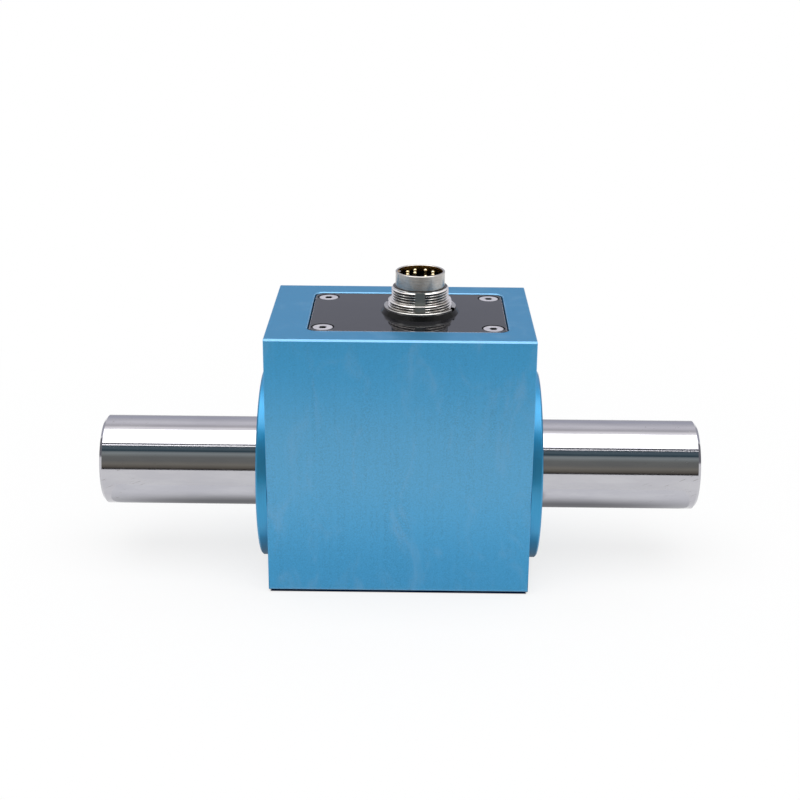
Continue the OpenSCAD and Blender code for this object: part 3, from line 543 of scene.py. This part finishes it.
def circuit_board():
    """Green solder mask with a fine grain, and copper tracks showing through it."""
    s = Shader("circuit_board")
    x, y, z = s.place()
    tracks_per_mm = 0.8
    track_x = s.math("SINE", s.times(x, 2 * math.pi * tracks_per_mm))
    track_y = s.math("SINE", s.times(y, 2 * math.pi * tracks_per_mm))
    region = s.noise(s.vector(x, y, z), scale=0.22, detail=1.0)
    choose = s.span(region, 0.49, 0.51)
    track = s.blend(choose, track_x, track_y)
    track = s.times(s.span(track, 0.3, 0.5), s.span(region, 0.40, 0.44))
    colour = s.mix(track, (0.012, 0.085, 0.035, 1), (0.035, 0.19, 0.075, 1))
    grain = s.noise(s.vector(x, y, z), scale=3.0, detail=3.0)
    return s.surface(Base_Color=colour, Roughness=s.span(grain, 0.3, 0.7, 0.28, 0.42),
                     Normal=s.bump(track, 0.03, 0.5), Coat_Weight=0.2)


def gauge_foil():
    """Amber carrier film with the meander of the measuring grid."""
    s = Shader("gauge_foil")
    x, y = s.place()[:2]
    lines_per_mm = 1.6
    grid = s.math("SINE", s.times(s.math("ADD", x, y), 2 * math.pi * lines_per_mm))
    grid = s.times(s.span(grid, 0.0, 0.3), s.span(s.math("ABSOLUTE", x), 2.6, 2.9, 1.0, 0.0))
    colour = s.mix(grid, (0.52, 0.24, 0.05, 1), (0.28, 0.22, 0.17, 1))
    return s.surface(Base_Color=colour, Roughness=s.span(grid, 0.0, 1.0, 0.30, 0.42),
                     Normal=s.bump(grid, 0.01, 0.5))


def top_of(node):
    """The upper corner of a node's box, in millimetres."""
    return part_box(node)[1] / MM


def make_materials():
    """One material for each of the record's slots, and those that only some nodes take."""
    return {
        "anodised_blue": anodised_block(),
        "anodised_turned": anodised_turned(),
        "ground_steel": ground_steel(),
        "black_plate": gloss_black(*(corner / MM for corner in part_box("cover_plate"))),
        "screw_steel": bright_screw("screw_steel", 2, top_of("board_screws").z),
        "cover_screw": bright_screw("cover_screw", 2, top_of("cover_screws").z, with_rim_shade=True),
        "cap_screw": bright_screw("cap_screw", 0, top_of("cap_screws_right").x),
        "bearing_steel": turned_metal("bearing_steel", (0.48, 0.49, 0.51), (0.60, 0.61, 0.63), 0.10, 0.20),
        "nickel_plate": nickel(),
        "threaded_nickel": threaded_nickel(PLATE_TOP + COUPLING_TOP),
        "contact_gold": gilt(),
        "black_rubber": moulded("black_rubber", (0.003, 0.003, 0.003), (0.005, 0.005, 0.005), 0.14, 0.22,
                                ior=1.25),
        "chip_plastic": moulded("chip_plastic", (0.014, 0.013, 0.013), (0.024, 0.022, 0.021), 0.35, 0.52),
        "circuit_board": circuit_board(),
        "ferrite": moulded("ferrite", (0.035, 0.035, 0.038), (0.065, 0.063, 0.062), 0.55, 0.75, 3.0, 0.02),
        "copper_winding": copper_winding(),
        "plain_aluminium": turned_metal("plain_aluminium", (0.58, 0.58, 0.60), (0.70, 0.70, 0.71),
                                        0.25, 0.38),
        "wire_insulation": moulded("wire_insulation", (0.34, 0.025, 0.02), (0.46, 0.045, 0.03), 0.30, 0.42),
        "gauge_foil": gauge_foil(),
        "cage_brass": turned_metal("cage_brass", (0.52, 0.36, 0.12), (0.66, 0.48, 0.20), 0.20, 0.34),
    }


OWN_MATERIALS = {
    "end_cap_left": "anodised_turned",
    "end_cap_right": "anodised_turned",
    "cap_screws_left": "cap_screw",
    "cap_screws_right": "cap_screw",
    "cover_screws": "cover_screw",
}


def dress_nodes(materials):
    """Gives each CAD node the material of its slot, or its own."""
    for part in frame["record"]["subparts"]:
        name = part["node"]
        choice = OWN_MATERIALS.get(name, part["material_slot"])
        slots = frame["nodes"][name].data.materials
        slots.clear()
        slots.append(materials[choice])


# Connector shell with true threads; sizes in millimetres, heights above the plate's top face

def height_of(node):
    """Height of a node's top above the plate."""
    return top_of(node).z - PLATE_TOP


PLATE_TOP = top_of("cover_plate").z
PLATE_T = 2.0
COUPLING = next(mount for mount in frame["record"]["mounts"] if mount["name"] == "connector_coupling")
COUPLING_R = COUPLING["dims"]["r_mm"]
COUPLING_L = COUPLING["dims"]["length_mm"]
COUPLING_MIDDLE = COUPLING["pos_m"][2] / MM - PLATE_TOP
PANEL_TOP = COUPLING_MIDDLE - COUPLING_L / 2
COUPLING_TOP = COUPLING_MIDDLE + COUPLING_L / 2
MOUTH_TOP = height_of("connector_shell")
NUT_TOP = height_of("connector_nut")
# Distance of the key's top under the mouth
KEY_DROP = 0.22
KEY_TOP = MOUTH_TOP - KEY_DROP
SOCKET_FLOOR = height_of("connector_insert")
NOSE_R = 6.85
PANEL_R = 8.85
SOCKET_R = 6.25
FLANGE_R = 11.05
BARREL_R = 7.95
FLANGE_T = 2.0
BARREL_L = 3.0
# The seal ring's groove in the flange: its inner and outer radius, and its depth
GROOVE_R = (9.35, 10.55)
GROOVE_DEPTH = 1.0
KEY_W = 1.2
KEY_DEPTH = 0.8
THREAD_PITCH = 0.75
THREAD_DEPTH = 0.46
# Flat shares of a pitch at the thread's crest and root
CREST_SHARE = 0.125
ROOT_SHARE = 0.25
# Steps of the mesh along the thread's pitch and round the axis
ROWS_PER_PITCH = 12
COLUMNS = 288
# The slot down the front, and how far under the top of a threaded stretch it starts
SLOT_W = 2.8
SLOT_DEPTH = 0.5
SLOT_START = 0.10
RIM_BEVEL = 0.14
# Width of the close steps of the mesh that keep an edge crisp
EDGE = 0.01
# Edges sharper than this angle, in degrees, aren't smoothed
SHARP_ANGLE = 28
# Name of the mesh attribute that tells thread roots, slot and socket apart; the roots and the socket take painted
# shade from it
FINISH = "finish"

# A threaded stretch: its foot, top and radius, the bevel at its top, and how far under its top the first
# thread root lies at the front
Stretch = namedtuple("Stretch", "foot top crest_r bevel first_root")
PANEL_STRETCH = Stretch(NUT_TOP - THREAD_PITCH / 3, PANEL_TOP, PANEL_R, 0.18, 0.48)
COUPLING_STRETCH = Stretch(PANEL_TOP, COUPLING_TOP, COUPLING_R, 0.42, 0.88)


def thread_groove(height, angle, stretch):
    """Depth of the thread, from 0 at the crest to 1 at the root, of a right-hand thread."""
    above_root = height - (stretch.top - stretch.first_root)
    turn = (0.5 + above_root / THREAD_PITCH - (angle + math.pi / 2) / (2 * math.pi)) % 1.0
    from_root = abs(turn - 0.5) * 2
    share = (1 - CREST_SHARE - from_root) / (1 - CREST_SHARE - ROOT_SHARE)
    return min(max(share, 0.0), 1.0)


def flat_limit(angle, facing, distance):
    """Radius at which a flat cut, square to a direction and that far from the axis, lies at this angle."""
    return distance / math.cos(angle - facing)


def in_slot(height, angle, stretch):
    """Whether a place on a threaded stretch lies in the slot down its front."""
    in_width = abs(math.cos(angle)) * stretch.crest_r < SLOT_W / 2
    return in_width and math.sin(angle) < 0 and height < stretch.top - SLOT_START


def in_key(angle):
    """Whether an angle of the socket's wall lies on the key at its left."""
    return abs(math.sin(angle)) * SOCKET_R < KEY_W / 2 and math.cos(angle) < 0


def outside_radius(height, angle, stretch):
    """Radius of a threaded stretch: the thread, the bevel at its top and the slot down its front."""
    radius = stretch.crest_r - THREAD_DEPTH * thread_groove(height, angle, stretch)
    radius = min(radius, stretch.crest_r - max(0.0, height - stretch.top + stretch.bevel))
    if in_slot(height, angle, stretch):
        radius = min(radius, flat_limit(angle, -math.pi / 2, stretch.crest_r - SLOT_DEPTH))
    return radius


def inside_radius(angle):
    """Radius of the socket's wall, with the key on its left side."""
    if in_key(angle):
        return flat_limit(angle, math.pi, SOCKET_R - KEY_DEPTH)
    return SOCKET_R


def shell_columns():
    """Angles of the mesh's columns: even steps, and a close pair at each edge of the slot and the key."""
    angles = {2 * math.pi * i / COLUMNS - math.pi for i in range(COLUMNS)}
    for offset in (-EDGE, EDGE):
        for radius in (PANEL_R, COUPLING_R):
            turn = math.asin((SLOT_W / 2 + offset) / radius)
            angles.update((-math.pi / 2 - turn, -math.pi / 2 + turn))
        turn = math.asin((KEY_W / 2 + offset) / SOCKET_R)
        angles.update((turn - math.pi, math.pi - turn))
    return sorted(angles)


def plain_row(height, radius, inside=0.0, groove=0.0):
    """A round row of the shell's section: its height, and its radius and finish by angle."""
    return height, lambda angle: radius, lambda angle: (groove, 0.0, inside, 1.0)


def threaded_row(height, stretch):
    """A row across a threaded stretch, whose finish holds the depth in the thread and the slot."""
    def finish(angle):
        if in_slot(height, angle, stretch):
            return 0.0, 1.0, 0.0, 1.0
        if height > stretch.top - stretch.bevel:
            return 0.0, 0.0, 0.0, 1.0
        return thread_groove(height, angle, stretch), 0.0, 0.0, 1.0
    return height, lambda angle: outside_radius(height, angle, stretch), finish


def keyed_row(height, key_inside=1.0):
    """A row inside the socket with the key in it, whose finish can differ from the wall's."""
    return height, inside_radius, lambda angle: (0.0, 0.0, key_inside if in_key(angle) else 1.0, 1.0)


def shell_rows():
    """Rows of the shell's section, as a closed loop."""
    flange_top = -PLATE_T
    flange_foot = flange_top - FLANGE_T
    bottom = flange_foot - BARREL_L
    rows = [
        plain_row(bottom, SOCKET_R),
        plain_row(bottom, BARREL_R),
        plain_row(flange_foot, BARREL_R),
        plain_row(flange_foot, FLANGE_R),
        plain_row(flange_top, FLANGE_R),
        plain_row(flange_top, GROOVE_R[1]),
        plain_row(flange_top - GROOVE_DEPTH, GROOVE_R[1]),
        plain_row(flange_top - GROOVE_DEPTH, GROOVE_R[0]),
        plain_row(flange_top, GROOVE_R[0]),
        plain_row(flange_top, PANEL_R),
        plain_row(NUT_TOP - THREAD_PITCH / 2, PANEL_R),
    ]
    for stretch in (PANEL_STRETCH, COUPLING_STRETCH):
        length = stretch.top - stretch.foot
        count = round(length / THREAD_PITCH * ROWS_PER_PITCH)
        for i in range(count + 1):
            rows.append(threaded_row(stretch.foot + length * i / count, stretch))
    rows += [
        # The shoulder under the nose takes the roots' painted shade
        plain_row(COUPLING_TOP, COUPLING_R - COUPLING_STRETCH.bevel - EDGE, groove=1.0),
        plain_row(COUPLING_TOP, NOSE_R, groove=1.0),
        plain_row(MOUTH_TOP - RIM_BEVEL, NOSE_R),
        plain_row(MOUTH_TOP, NOSE_R - RIM_BEVEL),
        plain_row(MOUTH_TOP, SOCKET_R + RIM_BEVEL),
        plain_row(MOUTH_TOP - RIM_BEVEL, SOCKET_R),
        plain_row(MOUTH_TOP - RIM_BEVEL - EDGE, SOCKET_R, 1.0),
        plain_row(KEY_TOP, SOCKET_R, 1.0),
        keyed_row(KEY_TOP - EDGE, 0.0),
        keyed_row(SOCKET_FLOOR),
        plain_row(SOCKET_FLOOR - EDGE, SOCKET_R, 1.0),
    ]
    return rows


def threaded_shell(material):
    """The connector's shell as one closed mesh, in the place of its plain solid."""
    low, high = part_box("connector_shell")
    centre = (low + high) / 2
    columns = shell_columns()
    rows = shell_rows()
    vertices = []
    finishes = []
    for height, radius, finish in rows:
        for angle in columns:
            r = radius(angle) * MM
            vertices.append((centre.x + r * math.cos(angle), centre.y + r * math.sin(angle),
                             (PLATE_TOP + height) * MM))
            finishes.extend(finish(angle))
    wide = len(columns)
    faces = []
    for i in range(len(rows)):
        here = i * wide
        above = (i + 1) % len(rows) * wide
        for j in range(wide):
            k = (j + 1) % wide
            faces.append((here + j, here + k, above + k, above + j))
    mesh = bpy.data.meshes.new("threaded_shell")
    mesh.from_pydata(vertices, [], faces)
    mesh.attributes.new(FINISH, "FLOAT_COLOR", "POINT").data.foreach_set("color", finishes)
    mesh.materials.append(material)
    mesh.shade_smooth()
    mesh.set_sharp_from_angle(angle=math.radians(SHARP_ANGLE))
    shell = bpy.data.objects.new("threaded_shell", mesh)
    bpy.context.scene.collection.objects.link(shell)
    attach(shell, "stator")
    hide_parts("connector_shell")


# Camera, stage and light

def make_camera():
    """The camera, placed to give the photograph's view of the part."""
    yaw = math.radians(CAMERA_YAW)
    pitch = math.radians(CAMERA_PITCH)
    roll = math.radians(CAMERA_ROLL)
    forward = Vector((math.sin(yaw) * math.cos(pitch), math.cos(yaw) * math.cos(pitch), -math.sin(pitch)))
    level_right = Vector((math.cos(yaw), -math.sin(yaw), 0))
    level_up = level_right.cross(forward)
    right = math.cos(roll) * level_right + math.sin(roll) * level_up
    up = math.cos(roll) * level_up - math.sin(roll) * level_right
    data = bpy.data.cameras.new("camera")
    data.sensor_fit = "HORIZONTAL"
    data.sensor_width = SENSOR_MM
    data.lens = SENSOR_MM * FOCAL_PX / IMAGE_SIZE
    data.clip_start = CLIP_START
    camera = bpy.data.objects.new("camera", data)
    turn = Matrix((right, up, -forward)).transposed().to_4x4()
    camera.matrix_world = Matrix.Translation(CAMERA_PLACE) @ turn
    bpy.context.scene.collection.objects.link(camera)
    bpy.context.scene.camera = camera


def stage_sheet(name, corners, material):
    """A flat four-cornered sheet that belongs to the stage."""
    mesh = bpy.data.meshes.new(name)
    mesh.from_pydata(corners, [], [(0, 1, 2, 3)])
    mesh.materials.append(material)
    sheet = bpy.data.objects.new(name, mesh)
    bpy.context.scene.collection.objects.link(sheet)
    return sheet


def seen_rays(nodes):
    """1 for the rays that show a surface as it is: camera, glossy and transmission rays."""
    path = nodes.add("ShaderNodeLightPath").outputs
    shown = nodes.math("MAXIMUM", path["Is Camera Ray"], path["Is Glossy Ray"])
    return nodes.math("MAXIMUM", shown, path["Is Transmission Ray"])


def floor_material():
    """Pale floor that takes the object's shadow, darkest under the block where a painted dark colour deepens the
    contact shadow, and plain white further out.
    """
    s = Shader("pale_floor")
    x, y = s.place()[:2]
    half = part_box("housing")[1] / MM
    past_x = s.math("SUBTRACT", s.math("ABSOLUTE", x), half.x)
    past_y = s.math("SUBTRACT", s.math("ABSOLUTE", y), half.y)
    clear = s.span(s.math("MAXIMUM", past_x, past_y), *CONTACT_FADE)
    away = s.times(s.radius(x, y, 0.0, 0.0), MM)
    far = s.span(away, FLOOR_WHITE_FROM, FLOOR_WHITE_TO, FLOOR_WHITE_NEAR, 1.0)
    white = s.glow((1, 1, 1, 1))
    blend = s.times(s.times(far, clear), seen_rays(s))
    s.show(s.add("ShaderNodeMixShader", {0: blend, 1: s.bsdf.outputs[0], 2: white}).outputs[0])
    # Painted shadow: a dark floor colour under the block deepens the real contact shadow
    colour = s.mix(clear, CONTACT_COLOUR, FLOOR_COLOUR)
    return s.surface(Base_Color=colour, Roughness=1.0, Specular_IOR_Level=0.0)


def card_material(name, bands, foot, top):
    """Even glow of a studio card, in bands of colour from its foot to its top."""
    s = Shader(name)
    height = s.times(s.place()[2], MM)
    share = s.add("ShaderNodeMapRange", {"Value": height, "From Min": foot, "From Max": top}).outputs[0]
    ramp = s.add("ShaderNodeValToRGB", {0: share})
    stops = ramp.color_ramp.elements
    while len(stops) < len(bands):
        stops.new(1.0)
    for stop, (position, colour) in zip(stops, bands):
        stop.position = position
        stop.color = (*colour, 1.0)
    return s.show(s.glow(ramp.outputs[0]))


def only_in_reflections(sheet):
    """Hides a sheet from the camera and from soft light and shadow."""
    sheet.visible_camera = False
    sheet.visible_diffuse = False
    sheet.visible_shadow = False


def stand_card(name, left, right, top, bands):
    """An upright card that shows only in reflections."""
    corners = [(*left, 0), (*right, 0), (*right, top), (*left, top)]
    only_in_reflections(stage_sheet(name, corners, card_material(name, bands, 0.0, top)))


def shade_material():
    """Soft shade that the shaft ends see below them."""
    s = Shader("shade")
    x, y = s.place()[:2]
    out = s.math("ABSOLUTE", x)
    deep = s.times(s.span(y, *SHADE_DEEP_Y), s.span(out, *SHADE_DEEP_X))
    under_cap = s.times(s.span(y, *SHADE_CAP_Y), s.span(out, *SHADE_CAP_X))
    deep = s.math("MAXIMUM", deep, under_cap)
    level = s.span(deep, 0.0, 1.0, 1.0, 1.0 - SHADE_DEPTH)
    return s.show(s.glow((0.97, 0.98, 1.0, 1), level))


def lay_shades():
    """One sheet of shade on the floor under each shaft end."""
    material = shade_material()
    for name, side in (("shade_left", -1), ("shade_right", 1)):
        near, far = sorted(side * x * MM for x in SHADE_X)
        front, back = (y * MM for y in SHADE_Y)
        z = SHADE_LIFT * MM
        corners = [(near, front, z), (far, front, z), (far, back, z), (near, back, z)]
        only_in_reflections(stage_sheet(name, corners, material))


def hang_strip(name, front_left, front_right, back, colour):
    """A plain strip across the softbox, just under it."""
    half = SOFTBOX_WIDTH / 2
    z = SOFTBOX_HEIGHT - STRIP_GAP
    corners = [(-half, front_left, z), (half, front_right, z), (half, back, z), (-half, back, z)]
    bands = ((0.0, colour), (1.0, colour))
    only_in_reflections(stage_sheet(name, corners, card_material(name, bands, 0.0, z)))


def make_stage():
    """The floor, and the cards, strips and shades that the metal reflects."""
    half = FLOOR_HALF
    drop = -FLOOR_DROP
    corners = [(-half, -half, drop), (half, -half, drop), (half, half, drop), (-half, half, drop)]
    stage_sheet("floor", corners, floor_material())
    stand_card("front_card", *FRONT_CARD)
    stand_card("back_card", *BACK_CARD)
    stand_card("left_card", *LEFT_CARD)
    stand_card("right_card", *RIGHT_CARD)
    frame_front = SOFTBOX_FRONT - SOFTBOX_FRAME
    hang_strip("softbox_frame", frame_front, frame_front, SOFTBOX_FRONT, FRAME_COLOUR)
    hang_strip("softbox_rib", *SOFTBOX_RIB, RIB_COLOUR)
    lay_shades()


def make_light():
    """One large softbox overhead, and an even white surround."""
    depth = SOFTBOX_BACK - SOFTBOX_FRONT
    data = bpy.data.lights.new("softbox", "AREA")
    data.shape = "RECTANGLE"
    data.size = SOFTBOX_WIDTH
    data.size_y = depth
    data.energy = SOFTBOX_RADIANCE * math.pi * SOFTBOX_WIDTH * depth
    softbox = bpy.data.objects.new("softbox", data)
    softbox.location = (0, (SOFTBOX_FRONT + SOFTBOX_BACK) / 2, SOFTBOX_HEIGHT)
    softbox.visible_camera = False
    bpy.context.scene.collection.objects.link(softbox)

    world = bpy.data.worlds.new("surround")
    bpy.context.scene.world = world
    world.use_nodes = True
    nodes = Nodes(world.node_tree)
    strength = nodes.add("ShaderNodeMapRange", {"Value": seen_rays(nodes), "To Min": AMBIENT, "To Max": 1.0})
    background = nodes.tree.nodes["Background"].inputs
    background["Color"].default_value = (1, 1, 1, 1)
    nodes.feed(background["Strength"], strength.outputs[0])


bpy.context.scene.view_settings.view_transform = "Standard"
make_camera()
make_stage()
make_light()
all_materials = make_materials()
dress_nodes(all_materials)
threaded_shell(all_materials["threaded_nickel"])
